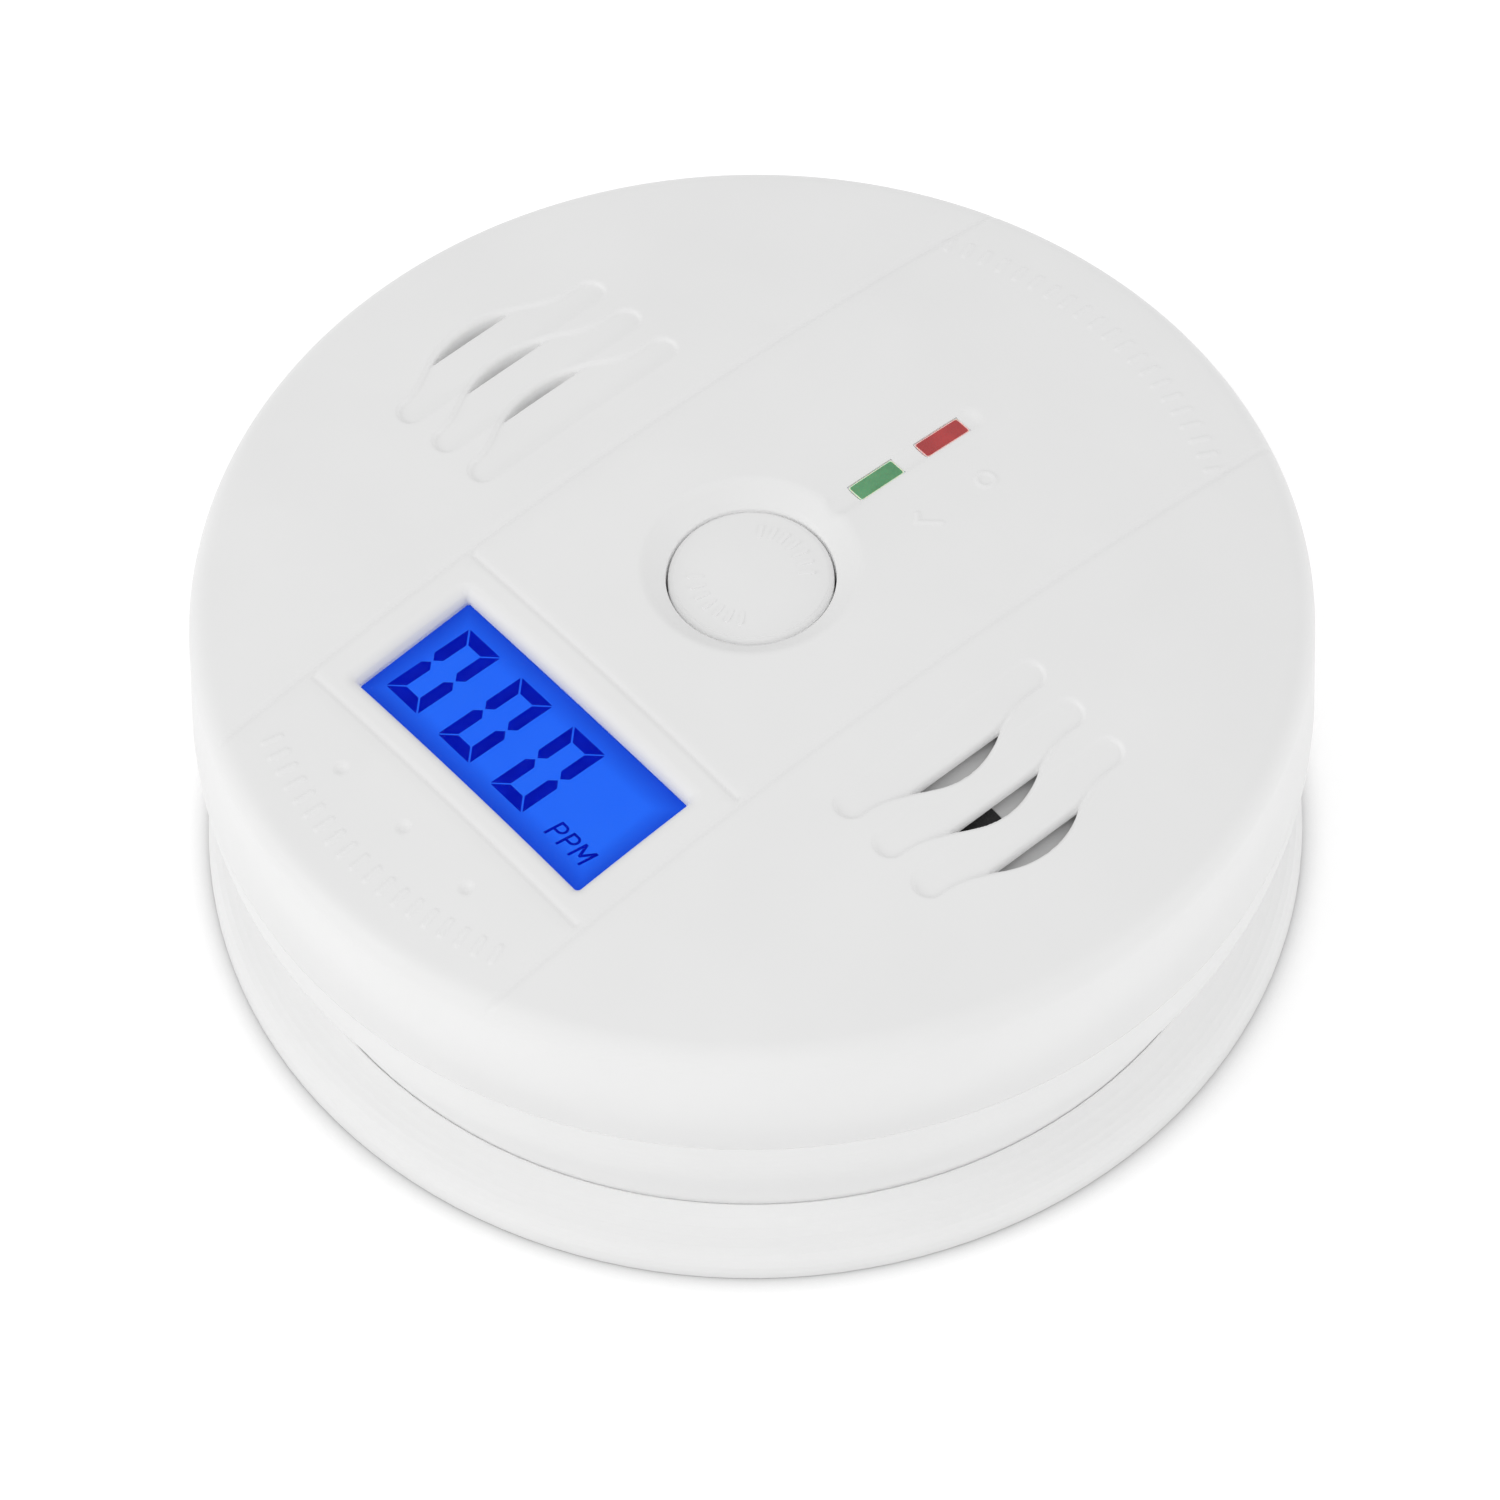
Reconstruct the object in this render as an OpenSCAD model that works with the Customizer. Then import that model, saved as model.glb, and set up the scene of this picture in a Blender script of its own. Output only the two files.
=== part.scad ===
// Round battery carbon monoxide alarm on a bayonet mounting plate, lying on its back.
// +Z leaves the wall, +Y is the top of the face, the origin is the middle of the plate's back.

/* [Alarm body] */
// Diameter where the front cover meets the rear housing
alarm_d = 100; // [99:0.5:102]
// Height of the middle of the domed face above the wall
alarm_h = 37.5; // [37.5:0.25:38.5]
// Fall of the domed face from its middle to its rim
dome_drop = 4.4; // [4.2:0.1:4.6]
// Rounding between the face and the side
rim_round = 2.5; // [2:0.25:3]
// Height of the line where the front cover meets the rear housing
parting_z = 20.7; // [20.5:0.1:20.9]
// Radius at which the rear housing meets the mounting plate
foot_r = 45.2; // [45:0.1:45.3]
// Wall thickness of the front cover
cover_wall = 1.8; // [1.7:0.1:1.9]

/* [Mounting plate] */
// Diameter of the mounting plate
plate_d = 100; // [99:0.1:100]
// Height of the plate's outer wall
plate_edge_h = 3.1; // [2.8:0.1:3.3]
// Distance between the two screw holes, and between the two screw slots
screw_spacing = 66; // [65:0.5:67]
// Diameter of the wall screw holes
screw_hole_d = 4.5; // [4:0.25:4.5]

/* [Test button] */
// Radius of the button
button_r = 7.3; // [7.1:0.05:7.3]
// Radius of the hole that the button fills
button_hole_r = 7.6; // [7.55:0.05:7.7]
// Radius of the conical dish round the button
dish_r = 9.6; // [9.4:0.1:9.9]
// Depth of the dish at the button
dish_depth = 1.8; // [1.6:0.1:1.9]

/* [Display] */
// Width of the visible display window
window_w = 29.6; // [29.4:0.1:29.7]
// Height of the visible display window
window_h = 12.5; // [12.3:0.1:12.6]
// Distance of the window's middle below the middle of the face
window_y = 26.3; // [26.1:0.1:26.5]
// Height of one digit
digit_h = 9; // [8.5:0.1:9.2]

/* [Louvres] */
// Distance from one louvre to the next
louvre_pitch = 5; // [4.9:0.05:5.1]
// Distance from the middle of the face to the first louvre
louvre_x = 22.8; // [22.6:0.1:23]
// Length of each louvre
louvre_len = 23.4; // [22:0.1:24]

/* [Hidden] */

$fn = 96;
fine = 360;

// Domed face: part of a sphere
alarm_r = alarm_d / 2;
dome_r = (alarm_r * alarm_r + dome_drop * dome_drop) / (2 * dome_drop);
dome_z0 = alarm_h - dome_r;
// Rim: an arc that touches the sphere from inside
rim_out_r = alarm_r - 0.5;
rim_c = rim_out_r - rim_round;
rim_z = dome_z0 + sqrt(pow(dome_r - rim_round, 2) - rim_c * rim_c);
rim_meet_r = rim_c * dome_r / (dome_r - rim_round);

// Front cover
lap_r = alarm_r - 2.4;
cover_bore_r = lap_r + 0.05;
groove_x = 18.2;
groove_half = 0.45;
groove_depth = 0.4;
bezel_top_y = -17;
bezel_bottom_y = -35.1;
dimple_y = -39.5;
dimple_pitch = 8.4;
dish_floor_z = alarm_h - dish_depth;
collar_r = 11;
collar_z = 32;
guide_r = 8.9;

// Bosses and screws that join the cover to the housing
boss_ring_r = 37;
boss_r = 3.2;
boss_angles = [90, 210, 330];
screw_r = 1.25;
pilot_r = 1.3;

// Louvres
louvre_w = 3;
louvre_mid_y = 0.3;
louvre_depth = 0.4;
slot_r = 9;
duct_wall = 0.7;

// Each side's slots: chord, reach of the arc, middle y and depth of the duct below
sensor_slot = [3.8, 5.5, 0, 2.3];
sounder_slot = [4.9, 6.1, -0.6, 4];

// Light pipes
pipe_w = 1.9;
pipe_len = 5.1;
power_y = 14.7;
alarm_y = 22.5;
channel_w = 2.2;
channel_top_y = 27.3;
channel_depth = 0.3;

// Display stack, measured down from the face along the tilted normal
window_tilt = asin(window_y / dome_r);
bevel = 0.9;
lens_top = 1.9;
lens_t = 0.52;
glass_top = 2.5;
glass_t = 1.6;
segment_t = 0.06;
light_top = 4.2;
light_t = 2.5;
digit_w = 4.2;
digit_pitch = 7.03;
digit_x = -13.4;
stroke = 1.18;
stroke_gap = 0.12;
slant = 4.1;

// Rear housing
back_z = 2.3;
wall_z = 4.8;
foot_z = 4.5;
floor_top_z = 6.8;
spigot_r = 43;
bulge_z = 13;
bulge_r = alarm_r - 1.55;
inner_r = 46;
lap_top_z = parting_z + 2.5;

// Battery bay
cell_r = 7.2;
cell_len = 50.5;
cell_pitch = 15;
cell_z = 10.3;
cell_shift = 2.2;
bay_x = 28;
bay_y = 23;
bay_top_z = 18;
bay_roof_z = 19.5;
bay_wall = 1.5;

// Circuit board
board_z = 21.4;
board_t = 1.6;
board_top = board_z + board_t;
board_r = 44.5;
post_at = [[37, 16], [-37, 16], [0, -38.5]];
post_r = 2.8;

// Bayonet
tab_angles = [30, 150, 270];
tab_half = 8;
lug_half = 7;
stop_angle = 8.5;
twist_angle = 18;
lip_r = foot_r + 0.08;
tab_in_r = 43.6;

// Sensor and sounder
shroud_x = 29.5;
shroud_r = 13.2;
shroud_depth = 2.4;
sounder_x = 30;
sounder_r = 13.4;
sounder_top = 30.4;

// Test button and switch
flange_top = collar_z - 0.3;
switch_h = 3.4;
plunger_r = 1.7;
plunger_top = board_top + 5;
button_face = dish_floor_z + 0.05;
button_crown = 0.3;

function face_z(x, y) = dome_z0 + sqrt(dome_r * dome_r - x * x - y * y);

// Flat shape of the solid under the domed face, d below it, out to radius r
module dome_section(d, r, z0) {
  intersection() {
    translate([0, dome_z0]) circle(dome_r - d, $fn = 4 * fine);
    translate([0, z0]) square([r, alarm_h]);
  }
}

module under_face(d, r = 46, z0 = 20) {
  rotate_extrude($fn = fine) dome_section(d, r, z0);
}

// Points of a smooth bend from a to c whose end tangents meet at b
function curve(a, b, c) = [for (t = [0:0.125:1]) (1 - t) * (1 - t) * a + 2 * t * (1 - t) * b + t * t * c];

// Solid of everything between two depths below the face
module face_layer(d_top, d_bottom) {
  difference() {
    under_face(d_top);
    under_face(d_bottom, 47, 19);
  }
}

// V-groove cut into the face along the plane x = at, from angle a0 to a1 about the sphere's middle
module face_groove(at, a0, a1) {
  ring_r = sqrt(dome_r * dome_r - at * at);
  translate([at, 0, dome_z0])
    rotate([0, -90, 0])
      rotate([0, 0, a0])
        rotate_extrude(angle = a1 - a0, $fn = 4 * fine)
          polygon([
            [ring_r - groove_depth, 0],
            [ring_r + groove_depth, -2 * groove_half],
            [ring_r + groove_depth, 2 * groove_half]
          ]);
}

module at_bosses() {
  for (a = boss_angles) rotate([0, 0, a]) translate([boss_ring_r, 0, 0]) children();
}

module at_window() {
  translate([0, -window_y, face_z(0, window_y)]) rotate([window_tilt, 0, 0]) children();
}

// Box centred on the window, from depth top to depth bottom
module window_box(w, h, top, bottom) {
  at_window() translate([-w / 2, -h / 2, -bottom]) cube([w, h, bottom - top]);
}

// Bevel that leads the face down into the window
module window_bevel() {
  at_window()
    intersection() {
      bevel_prism(window_w);
      rotate([0, 0, 90]) bevel_prism(window_h);
    }
}

module bevel_prism(w) {
  above = 0.6;
  half_top = w / 2 + bevel + above;
  rotate([90, 0, 0])
    linear_extrude(60, center = true)
      polygon([[-w / 2, -bevel], [w / 2, -bevel], [half_top, above], [-half_top, above]]);
}

// One louvre's outline: a straight channel that swells outward round its slot
module louvre_outline(i, slot) {
  x0 = louvre_x + louvre_pitch * i;
  half_w = louvre_w / 2;
  y0 = louvre_mid_y - louvre_len / 2 + half_w;
  y1 = louvre_mid_y + louvre_len / 2 - half_w;
  translate([x0, y0]) square([louvre_w, y1 - y0]);
  for (y = [y0, y1]) translate([x0 + half_w, y]) circle(half_w);
  slot_outline(i, slot, 1, 0.4);
}

// The open part of a louvre: a chord on the inner side and an arc on the outer side
module slot_outline(i, slot, inward = 0, grow = 0) {
  x0 = louvre_x + louvre_pitch * i;
  intersection() {
    translate([x0 + slot[1] - slot_r, slot[2]]) circle(slot_r + grow, $fn = 180);
    translate([x0 + slot[0] - inward, -10]) square([10, 20]);
  }
}

// Thin walls that lead each slot inward
module slot_ducts(slot) {
  intersection() {
    face_layer(louvre_depth + 0.2, slot[3]);
    translate([0, 0, 28])
      linear_extrude(12)
        for (i = [0:2]) slot_outline(i, slot, duct_wall, duct_wall);
  }
}

module pipe_window(y, gap, z0, z1) {
  w = pipe_w + 2 * gap;
  len = pipe_len + 2 * gap;
  translate([-w / 2, y - len / 2, z0]) cube([w, len, z1 - z0]);
}

// Raised signs on the face, drawn as flat outlines
module bar(len, w, a) {
  rotate(a) {
    translate([0, -w / 2]) square([len, w]);
    circle(w / 2, $fn = 24);
    translate([len, 0]) circle(w / 2, $fn = 24);
  }
}

module tick_sign() {
  bar(1, 0.4, 135);
  bar(2.2, 0.4, 50);
}

module ring_sign() {
  difference() {
    circle(1);
    circle(0.6);
  }
}

module mark_arc(mid_angle, r, count, step) {
  for (k = [0:count - 1])
    rotate(mid_angle + (k - (count - 1) / 2) * step) translate([r - 0.75, 0]) bar(1.5, 0.5, 0);
}

module raised_marks() {
  translate([6, power_y - 0.6]) tick_sign();
  translate([6.2, alarm_y - 0.4]) ring_sign();
  mark_arc(-90, 44.4, 19, 2.2);
  mark_arc(90, 43, 21, 2.4);
}

module cover_outside() {
  dome_section(0, rim_meet_r, parting_z);
  translate([rim_c, rim_z]) circle(rim_round);
  polygon([[0, parting_z], [alarm_r, parting_z], [rim_out_r, rim_z], [0, rim_z]]);
}

module cover_cavity() {
  dome_section(cover_wall, lap_r - 0.5, parting_z - 1);
  translate([0, parting_z - 1]) square([cover_bore_r, lap_top_z + 0.1 - parting_z + 1]);
}

module front_cover() {
  color("white") {
    difference() {
      union() {
        difference() {
          rotate_extrude($fn = fine) cover_outside();
          rotate_extrude($fn = fine) cover_cavity();
        }
        intersection() {
          rotate_extrude($fn = fine) cover_outside();
          union() {
            at_bosses() translate([0, 0, parting_z + 0.05]) cylinder(h = 16, r = boss_r);
            translate([0, 0, collar_z]) cylinder(h = 6, r = guide_r);
            translate([0, 0, collar_z + 1.6]) cylinder(h = 5, r = collar_r);
            window_box(window_w + 5.4, window_h + 5.4, 0.5, 4.3);
            slot_ducts(sensor_slot);
            mirror([1, 0, 0]) slot_ducts(sounder_slot);
          }
        }
      }
      translate([0, 0, collar_z - 1]) cylinder(h = 8, r = button_hole_r);
      translate([0, 0, dish_floor_z])
        cylinder(h = 2 * dish_depth, r1 = button_hole_r, r2 = 2 * dish_r - button_hole_r);
      at_bosses() translate([0, 0, parting_z - 1]) cylinder(h = 11, r = pilot_r);
      window_box(window_w, window_h, -2, 6);
      window_bevel();
      window_box(window_w + 2.2, window_h + 2.2, glass_top - 0.05, 6);
      for (at = [-groove_x, groove_x]) face_groove(at, -10, 10);
      for (y = [bezel_top_y, bezel_bottom_y]) bezel_cross_groove(y);
      for (y = [power_y, alarm_y]) pipe_window(y, 0.05, 30, 40);
      channel_cut();
      louvre_cuts(sensor_slot);
      mirror([1, 0, 0]) louvre_cuts(sounder_slot);
      for (k = [-1, 0, 1])
        translate([k * dimple_pitch, dimple_y, face_z(k * dimple_pitch, dimple_y) + 1.6])
          sphere(2, $fn = 48);
    }
    intersection() {
      face_layer(-0.15, 0.3);
      translate([0, 0, 25]) linear_extrude(20) raised_marks();
    }
  }
}

module bezel_cross_groove(y) {
  half = asin((groove_x + groove_half / 2) / dome_r);
  rotate([0, 0, 90]) face_groove(y, -half, half);
}

module channel_cut() {
  difference() {
    translate([-channel_w / 2, dish_r - 1, 30]) cube([channel_w, channel_top_y - dish_r + 1, 12]);
    under_face(channel_depth);
  }
}

module louvre_cuts(slot) {
  for (i = [0:2]) {
    difference() {
      translate([0, 0, 28]) linear_extrude(12) louvre_outline(i, slot);
      under_face(louvre_depth);
    }
    translate([0, 0, 28]) linear_extrude(12) slot_outline(i, slot);
  }
}

module housing_shell() {
  polygon(concat(
    [[0, wall_z], [41, wall_z], [41, back_z], [spigot_r, back_z], [spigot_r, foot_z], [foot_r, foot_z]],
    [[foot_r, foot_z + 0.4]],
    curve([bulge_r, bulge_z], [alarm_r, bulge_z + 3.6], [alarm_r, parting_z]),
    [[lap_r, parting_z], [lap_r, lap_top_z], [inner_r, lap_top_z]],
    [[inner_r, bulge_z + 3], [foot_r - 2.6, floor_top_z], [0, floor_top_z]]
  ));
}

module ring_sector(r_in, r_out, half_angle, h) {
  rotate([0, 0, -half_angle])
    rotate_extrude(angle = 2 * half_angle) translate([r_in, 0]) square([r_out - r_in, h]);
}

module rear_housing() {
  color("white")
    difference() {
      union() {
        rotate_extrude($fn = fine) housing_shell();
        translate([-bay_x - bay_wall, -bay_y - bay_wall, wall_z])
          cube([2 * (bay_x + bay_wall), 2 * (bay_y + bay_wall), bay_roof_z - wall_z]);
        at_bosses() translate([0, 0, wall_z]) cylinder(h = parting_z - wall_z, r = boss_r);
        for (p = post_at) translate([p[0], p[1], wall_z]) cylinder(h = board_z - wall_z, r = post_r);
        for (a = tab_angles)
          rotate([0, 0, a]) translate([0, 0, back_z]) ring_sector(spigot_r - 0.6, 44.9, lug_half, 0.7);
      }
      difference() {
        translate([-bay_x, -bay_y, wall_z - 1]) cube([2 * bay_x, 2 * bay_y, bay_top_z - wall_z + 1]);
        for (y = [-cell_pitch / 2, cell_pitch / 2])
          translate([-bay_x, y - 1, bay_top_z - 2.2]) cube([2 * bay_x, 2, 3]);
      }
      at_bosses() {
        translate([0, 0, wall_z - 1]) cylinder(h = 4.6, r = 2.8);
        translate([0, 0, wall_z]) cylinder(h = 20, r = 1.5);
      }
      for (p = post_at) translate([p[0], p[1], 12]) cylinder(h = 12, r = 1);
      terminal_slots(0.2, bay_top_z - 1, bay_roof_z + 1);
    }
}

// Passages for the two solder tabs that rise from the battery contacts
module terminal_slots(gap, z0, z1) {
  for (s = [-1, 1])
    translate([s * (bay_x - 0.3) - 0.2 - gap, -s * cell_pitch - 1.25 - gap, z0])
      cube([0.4 + 2 * gap, 2.5 + 2 * gap, z1 - z0]);
}

module mounting_plate() {
  plate_r = plate_d / 2;
  hole_r = screw_hole_d / 2;
  half = screw_spacing / 2;
  color("whitesmoke") {
    difference() {
      rotate_extrude($fn = fine)
        polygon(concat(
          [[0, 0], [plate_r - 0.12, 0], [plate_r, 0.12]],
          curve([plate_r, 0.8], [plate_r, plate_edge_h + 0.9], [lip_r + 0.2, 4.8]),
          [[lip_r, 4.7], [lip_r, 2], [0, 2]]
        ));
      for (s = [-1, 1]) translate([s * half, 0, -1]) cylinder(h = 4, r = hole_r);
      for (s = [-1, 1]) translate([0, s * half, -1]) {
        for (e = [-3, 3]) translate([0, e, 0]) cylinder(h = 4, r = hole_r);
        translate([-hole_r, -3, 0]) cube([2 * hole_r, 6, 4]);
      }
    }
    for (a = tab_angles) rotate([0, 0, a]) {
      translate([0, 0, 3.3]) ring_sector(tab_in_r, lip_r + 0.2, tab_half, 0.9);
      for (stop = [-stop_angle, stop_angle + twist_angle])
        rotate([0, 0, stop]) translate([0, 0, 1.8]) ring_sector(tab_in_r + 0.3, lip_r + 0.1, 1, 2.2);
    }
  }
}

// Screw standing on its head at z = 0, with a cross recess in the head's outer face
module screw(head_r, head_h, shank_r, length) {
  difference() {
    union() {
      cylinder(h = head_h, r = head_r);
      cylinder(h = length, r = shank_r);
    }
    for (a = [0, 90])
      rotate([0, 0, a]) translate([-head_r * 0.55, -0.3, -1]) cube([head_r * 1.1, 0.6, 1 + head_h * 0.6]);
  }
}

module cover_screws() {
  color("silver") at_bosses() translate([0, 0, 6.6]) screw(2.5, 1.7, screw_r, 21.5);
}

// A dry cell lying along X, its raised terminal toward +X
module cell() {
  rotate([0, 90, 0]) {
    translate([0, 0, -cell_len / 2]) cylinder(h = 0.3, r = cell_r - 1.2);
    translate([0, 0, 0.3 - cell_len / 2]) cylinder(h = cell_len - 1.8, r = cell_r);
    translate([0, 0, cell_len / 2 - 1.5]) cylinder(h = 1.5, r = 2.7);
  }
}

module battery(k) {
  side = k == 1 ? -1 : 1;
  color("dimgray")
    translate([side * cell_shift, (k - 1) * cell_pitch, cell_z])
      rotate([0, 0, side > 0 ? 0 : 180]) cell();
}

// Round wire wound along +Z: radius r0 at the bottom and r1 at the top
module coil(r0, r1, wire_r, turns, h, per_turn = 20, sides = 6) {
  n = turns * per_turn;
  points = [
    for (i = [0:n])
      let (a = 360 * i / per_turn, r = r0 + (r1 - r0) * i / n, z = h * i / n)
        for (s = [0:sides - 1])
          let (b = 360 * s / sides)
            [(r + wire_r * cos(b)) * cos(a), (r + wire_r * cos(b)) * sin(a), z + wire_r * sin(b)]
  ];
  sides_faces = [
    for (i = [0:n - 1]) for (s = [0:sides - 1])
      let (a = i * sides + s, b = i * sides + (s + 1) % sides)
        for (f = [[a, b, b + sides], [a, b + sides, a + sides]]) f
  ];
  start_face = [for (s = [0:sides - 1]) sides - 1 - s];
  end_face = [for (s = [0:sides - 1]) n * sides + s];
  polyhedron(points, concat([start_face], sides_faces, [end_face]));
}

module battery_springs() {
  color("silver")
    for (k = [0:2]) {
      side = k == 1 ? -1 : 1;
      translate([-side * (bay_x - 0.85), (k - 1) * cell_pitch, cell_z])
        rotate([0, side * 90, 0]) coil(4, 2.4, 0.3, 3, 3.75);
    }
}

// At each end: one plate for an outer cell and one plate that joins the other two cells
module battery_contacts() {
  color("silver") {
    for (s = [-1, 1]) translate([s * (bay_x - 0.3), 0, 5.5]) {
      translate([-0.2, -s * cell_pitch - 4, 0]) cube([0.4, 8, 10]);
      translate([-0.2, s * cell_pitch / 2 - 11.5, 0]) cube([0.4, 23, 10]);
    }
    terminal_slots(0, 15, board_top + 0.6);
  }
}

module circuit_board() {
  color("seagreen")
    difference() {
      translate([0, 0, board_z]) cylinder(h = board_t, r = board_r, $fn = fine);
      at_bosses() translate([0, 0, board_z - 1]) cylinder(h = 4, r = boss_r + 0.6);
      for (p = post_at) translate([p[0], p[1], board_z - 1]) cylinder(h = 4, r = 1.2);
      terminal_slots(0.2, board_z - 1, board_top + 1);
    }
}

module board_screws() {
  color("silver")
    for (p = post_at) translate([p[0], p[1], board_top + 1.3]) mirror([0, 0, 1]) screw(2, 1.3, 0.95, 10);
}

module microcontroller() {
  color("black") translate([-16, 29, board_top]) {
    translate([-4.5, -4.5, 0]) cube([9, 9, 1.4]);
    for (a = [0:90:270]) rotate([0, 0, a]) for (k = [-4:4])
      translate([4.4, k * 0.9 - 0.15, 0]) cube([1.2, 0.3, 0.2]);
  }
}

module boost_transformer() {
  color("black") translate([16, 29, board_top]) {
    translate([-4, -4, 0]) cube([8, 8, 1.2]);
    cylinder(h = 6.8, r = 3.2);
    translate([0, 0, 5.6]) cylinder(h = 1.2, r = 4);
  }
}

module capacitors() {
  color("navy")
    for (p = [[27, 23], [-29, 22], [9.5, 36]]) translate([p[0], p[1], board_top]) cylinder(h = 7, r = 2.5);
}

module chip_parts() {
  color("tan")
    for (k = [0:5]) {
      translate([-8 + 2.6 * k, -12.2, board_top]) cube([1.2, 2, 0.6]);
      translate([-7 + 2.6 * k, 31.2, board_top]) cube([1.2, 2, 0.6]);
    }
}

module gas_sensor() {
  color("lightgray") translate([shroud_x + 2, 0, board_top]) {
    cylinder(h = 7.3, r = 9);
    translate([0, 0, 7.3]) cylinder(h = 0.8, r = 5);
  }
}

// Cap over the sensor whose roof follows the face, with a window for the filter pad
module sensor_shroud() {
  color("gainsboro")
    difference() {
      intersection() {
        translate([shroud_x, 0, board_top]) cylinder(h = 14, r = shroud_r);
        under_face(shroud_depth);
      }
      intersection() {
        translate([shroud_x, 0, board_top - 1]) cylinder(h = 14, r = shroud_r - 1.2);
        under_face(shroud_depth + 1);
      }
      translate([shroud_x - 0.55, -8, 30]) cube([5.1, 8.05, 6]);
      translate([shroud_x, 0, board_top - 1])
        for (a = [60:60:300]) rotate([0, 0, a]) translate([shroud_r - 2, -2, 0]) cube([4, 4, 3]);
    }
}

module sensor_filter() {
  color("black")
    intersection() {
      translate([shroud_x - 0.5, -7.95, board_top + 8.15]) cube([5, 7.95, 6]);
      under_face(shroud_depth);
    }
}

module sounder_case() {
  color("gainsboro")
    translate([-sounder_x, 0, 0])
      difference() {
        translate([0, 0, board_top]) cylinder(h = sounder_top - board_top, r = sounder_r);
        translate([0, 0, board_top + 3]) cylinder(h = sounder_top - board_top - 4, r = sounder_r - 1.3);
        translate([0, 0, board_top - 1]) cylinder(h = 5, r = sounder_r - 3);
        translate([5, -5, sounder_top - 2]) cylinder(h = 4, r = 2.5);
      }
}

module sounder_disc() {
  color("goldenrod") translate([-sounder_x, 0, board_top + 3]) {
    cylinder(h = 0.25, r = sounder_r - 1.4);
    translate([0, 0, 0.25]) cylinder(h = 0.2, r = 7.5);
  }
}

module tact_switch() {
  color("black")
    difference() {
      translate([-3, -3, board_top]) cube([6, 6, switch_h]);
      translate([0, 0, board_top + 1]) cylinder(h = switch_h, r = plunger_r + 0.05);
    }
}

module switch_plunger() {
  color("gray") translate([0, 0, board_top + 2]) cylinder(h = plunger_top - board_top - 2, r = plunger_r);
}

module test_button() {
  crown_r = (button_r * button_r + button_crown * button_crown) / (2 * button_crown);
  color("white") {
    difference() {
      rotate_extrude() {
        intersection() {
          translate([0, button_face + button_crown - crown_r]) circle(crown_r, $fn = 4 * fine);
          union() {
            translate([0, flange_top - 1]) square([button_r - 0.5, 6]);
            translate([0, flange_top - 1]) square([button_r, button_face - 0.5 - flange_top + 1]);
            translate([button_r - 0.5, button_face - 0.5]) circle(0.5, $fn = 32);
          }
        }
        translate([0, flange_top - 1]) square([guide_r - 0.3, 1]);
      }
      translate([0, 0, flange_top - 2]) cylinder(h = 4.6, r = 5.9);
    }
    translate([0, 0, plunger_top]) cylinder(h = 7, r = 1.9);
    translate([0, 0, button_face - 0.2]) linear_extrude(0.45) button_signs();
  }
}

// Two opposite arcs of small raised bars round the button's face
module button_signs() {
  mark_ring(90);
  mark_ring(270);
}

module mark_ring(mid_angle) {
  for (k = [-3:3]) rotate(mid_angle + 13 * k) translate([4.3, 0]) bar(1.1, 0.36, 0);
}

module button_spring() {
  color("silver")
    translate([0, 0, board_top + switch_h + 0.3]) coil(3, 3, 0.25, 5, flange_top + 2 - board_top - switch_h);
}

module led(y, c) {
  color(c) translate([-0.8, y - 1.6, board_top]) {
    cube([1.6, 3.2, 0.8]);
    translate([0.1, 0.6, 0.8]) cube([1.4, 2, 0.3]);
  }
}

module light_pipe(y, c) {
  color(c)
    intersection() {
      union() {
        pipe_window(y, 0, board_top + 1.6, 40);
        translate([-1.8, y - 3.4, 33]) cube([3.6, 6.8, 1]);
      }
      under_face(0.25);
    }
}

module display_lens() {
  color("azure") window_box(window_w - 0.1, window_h - 0.1, lens_top, lens_top + lens_t);
}

module display_glass() {
  color("royalblue") window_box(window_w + 1.8, window_h + 1.8, glass_top, glass_top + glass_t);
}

module display_backlight() {
  color("white") window_box(window_w + 1.4, window_h - 2.2, light_top, light_top + light_t);
}

// One half-height upright stroke of a digit, growing up from its cut lower end
module half_stroke(len) {
  shoulder = len - stroke / 2;
  polygon([
    [0, stroke_gap], [stroke, stroke + stroke_gap], [stroke, shoulder], [stroke / 2, len], [0, shoulder]
  ]);
}

// The digit zero of a seven-segment display: four upright strokes and two level ones
module zero_digit() {
  half = digit_h / 2;
  multmatrix([[1, tan(slant), 0, 0], [0, 1, 0, 0]]) {
    for (up = [0, 1]) translate([0, up * digit_h]) mirror([0, up]) {
      half_stroke(half - 0.12);
      translate([digit_w, 0]) mirror([1, 0]) half_stroke(half - 0.12);
      polygon([
        [stroke_gap, 0], [digit_w - stroke_gap, 0],
        [digit_w - stroke - stroke_gap, stroke], [stroke + stroke_gap, stroke]
      ]);
    }
  }
}

// Letters of the unit, from straight strokes and half rings
module letter_p() {
  square([0.24, 1.9]);
  difference() {
    union() {
      translate([0, 0.8]) square([0.65, 1.1]);
      translate([0.65, 1.35]) circle(0.55, $fn = 32);
    }
    translate([0.2, 1.02]) square([0.45, 0.66]);
    translate([0.65, 1.35]) circle(0.33, $fn = 32);
  }
}

module letter_m() {
  square([0.24, 1.9]);
  translate([1.36, 0]) square([0.24, 1.9]);
  polygon([[0, 1.9], [0.28, 1.9], [0.8, 0.9], [1.32, 1.9], [1.6, 1.9], [0.9, 0.55], [0.7, 0.55]]);
}

module unit_letters() {
  multmatrix([[1, tan(12), 0, 0], [0, 1, 0, 0]]) {
    letter_p();
    translate([1.55, 0]) letter_p();
    translate([3.1, 0]) letter_m();
  }
}

module display_segments() {
  color("navy")
    at_window() translate([0, 0, -glass_top]) linear_extrude(segment_t) {
      for (k = [0:2]) translate([digit_x + digit_pitch * k, 0.1 - digit_h / 2]) zero_digit();
      translate([7.65, -4.3]) unit_letters();
    }
}

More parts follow.
